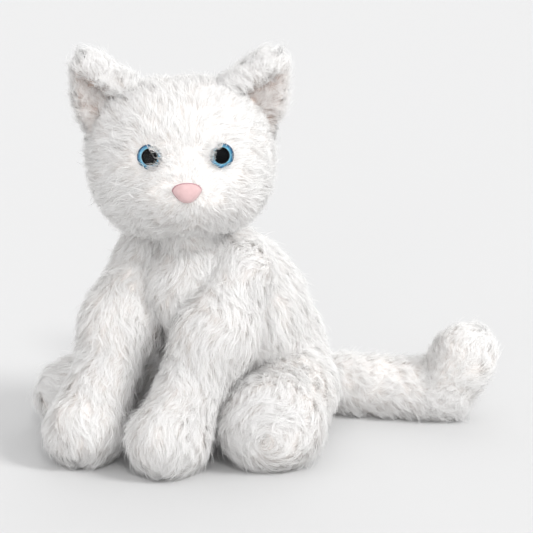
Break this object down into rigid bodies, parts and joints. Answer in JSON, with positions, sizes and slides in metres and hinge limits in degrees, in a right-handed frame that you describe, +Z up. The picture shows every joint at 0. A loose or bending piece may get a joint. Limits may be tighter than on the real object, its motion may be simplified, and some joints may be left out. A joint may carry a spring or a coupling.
{
  "type": "plush cat",
  "caption": "Sitting stuffed toy cat of long-pile plush, with a turned head, plastic eyes, soft ears, four posable legs and a long tail laid out to one side.",
  "frame": {"origin": "centre of the flat bottom of the seat, on the floor", "axes": "+Z up, -Y towards the chest and front paws, +X towards the cat's left side"},
  "size_m": [0.2448, 0.2225, 0.242],
  "materials": {
    "plush": "long white pile",
    "filling": "loose polyester fibre",
    "pellets": "woven pouch of pellets",
    "label": "smooth woven tape",
    "thread": "matte thread",
    "ear_cloth": "short soft pile",
    "nose_cloth": "smooth satin cloth",
    "clear_dome": "clear gloss",
    "iris_blue": "printed blue",
    "pupil_black": "gloss black",
    "shank": "moulded",
    "washer": "moulded"
  },
  "bodies": {
    "torso": {"back_panel_left": "plush", "back_panel_right": "plush", "belly_panel": "plush", "seat_panel": "plush", "body_filling": "filling", "pellet_pouch": "pellets", "care_label": "label"},
    "neck": {"neck_core": "plush", "neck_thread": "thread"},
    "head": {"head_panel_left": "plush", "head_panel_right": "plush", "crown_gusset": "plush", "chin_panel": "plush", "head_filling": "filling", "nose": "nose_cloth", "eye_lens_left": "clear_dome", "eye_iris_left": "iris_blue", "eye_pupil_left": "pupil_black", "eye_post_left": "shank", "eye_washer_left": "washer", "eye_lens_right": "clear_dome", "eye_iris_right": "iris_blue", "eye_pupil_right": "pupil_black", "eye_post_right": "shank", "eye_washer_right": "washer"},
    "ear_left": {"ear_back_left": "plush", "ear_lining_left": "ear_cloth"},
    "ear_right": {"ear_back_right": "plush", "ear_lining_right": "ear_cloth"},
    "front_leg_left": {"front_leg_outer_left": "plush", "front_leg_inner_left": "plush", "front_leg_filling_left": "filling"},
    "front_leg_right": {"front_leg_outer_right": "plush", "front_leg_inner_right": "plush", "front_leg_filling_right": "filling"},
    "hind_leg_left": {"hind_leg_outer_left": "plush", "hind_leg_inner_left": "plush", "hind_leg_filling_left": "filling"},
    "hind_leg_right": {"hind_leg_outer_right": "plush", "hind_leg_inner_right": "plush", "hind_leg_filling_right": "filling"},
    "tail_base": {"tail_base_upper": "plush", "tail_base_lower": "plush", "tail_base_filling": "filling"},
    "tail_tip": {"tail_tip_upper": "plush", "tail_tip_lower": "plush", "tail_tip_filling": "filling"}
  },
  "joints": [
    {"name": "head_turn", "type": "hinge", "parent": "torso", "child": "neck", "pos_m": [0, -0.06, 0.137], "axis": [0, 0, 1], "range_deg": [-25, 25], "stiffness_Nm_per_rad": 0.3},
    {"name": "head_nod", "type": "hinge", "parent": "neck", "child": "head", "pos_m": [0, -0.06, 0.137], "axis": [0.829, 0.5592, 0], "range_deg": [-12, 15], "stiffness_Nm_per_rad": 1.2},
    {"name": "ear_bend_left", "type": "hinge", "parent": "head", "child": "ear_left", "pos_m": [0.0306, -0.0488, 0.207], "axis": [-0.5179, -0.3493, 0.7809], "range_deg": [-20, 20], "stiffness_Nm_per_rad": 0.02},
    {"name": "ear_bend_right", "type": "hinge", "parent": "head", "child": "ear_right", "pos_m": [-0.03572, -0.09354, 0.207], "axis": [0.5179, 0.3493, 0.7809], "range_deg": [-20, 20], "stiffness_Nm_per_rad": 0.02},
    {"name": "front_leg_swing_left", "type": "hinge", "parent": "torso", "child": "front_leg_left", "pos_m": [0.032, -0.06, 0.118], "axis": [-0.9397, -0.342, 0], "range_deg": [-3, 40], "stiffness_Nm_per_rad": 0.2},
    {"name": "front_leg_swing_right", "type": "hinge", "parent": "torso", "child": "front_leg_right", "pos_m": [-0.032, -0.06, 0.118], "axis": [-0.9397, 0.342, 0], "range_deg": [-3, 40], "stiffness_Nm_per_rad": 0.2},
    {"name": "hind_leg_splay_left", "type": "hinge", "parent": "torso", "child": "hind_leg_left", "pos_m": [0.042, -0.016, 0.03], "axis": [0, 0, 1], "range_deg": [-3, 30], "stiffness_Nm_per_rad": 0.2},
    {"name": "hind_leg_splay_right", "type": "hinge", "parent": "torso", "child": "hind_leg_right", "pos_m": [-0.042, -0.018, 0.03], "axis": [0, 0, -1], "range_deg": [-7, 15], "stiffness_Nm_per_rad": 0.2},
    {"name": "tail_swing", "type": "hinge", "parent": "torso", "child": "tail_base", "pos_m": [0.012, 0.038, 0.017], "axis": [0, 0, 1], "range_deg": [-8, 44], "stiffness_Nm_per_rad": 0.1},
    {"name": "tail_curl", "type": "hinge", "parent": "tail_base", "child": "tail_tip", "pos_m": [0.107, 0.0635, 0.017], "axis": [0.2592, -0.9658, 0], "range_deg": [-15, 20], "stiffness_Nm_per_rad": 0.1}
  ]
}
